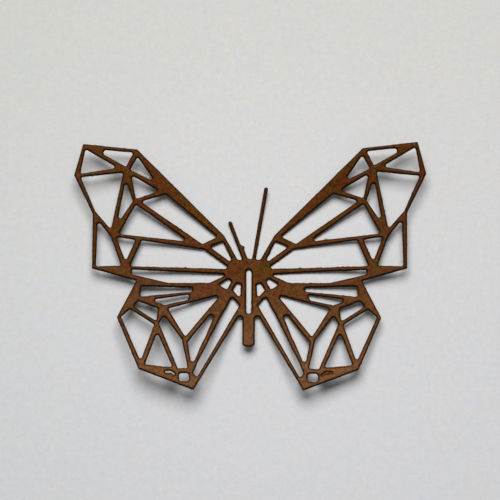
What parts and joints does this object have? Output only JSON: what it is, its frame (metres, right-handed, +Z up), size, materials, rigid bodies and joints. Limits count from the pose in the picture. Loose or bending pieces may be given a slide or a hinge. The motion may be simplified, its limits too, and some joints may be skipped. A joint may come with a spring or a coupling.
{
  "type": "die-cut card butterfly",
  "caption": "Flat butterfly cut from a sheet of brown card, with wings of thin bars round faceted windows, like the creases of a folded paper model.",
  "frame": {"origin": "on the underside, in the middle of the head, on the flat middle that the card rests on", "axes": "+X towards the butterfly's wing tip on the right as seen from above, +Y towards its head and antennae, +Z up from the table"},
  "size_m": [0.09, 0.0631, 0.0056],
  "materials": {
    "butterfly": "matte"
  },
  "bodies": {
    "root": {"butterfly": "butterfly"}
  },
  "joints": []
}
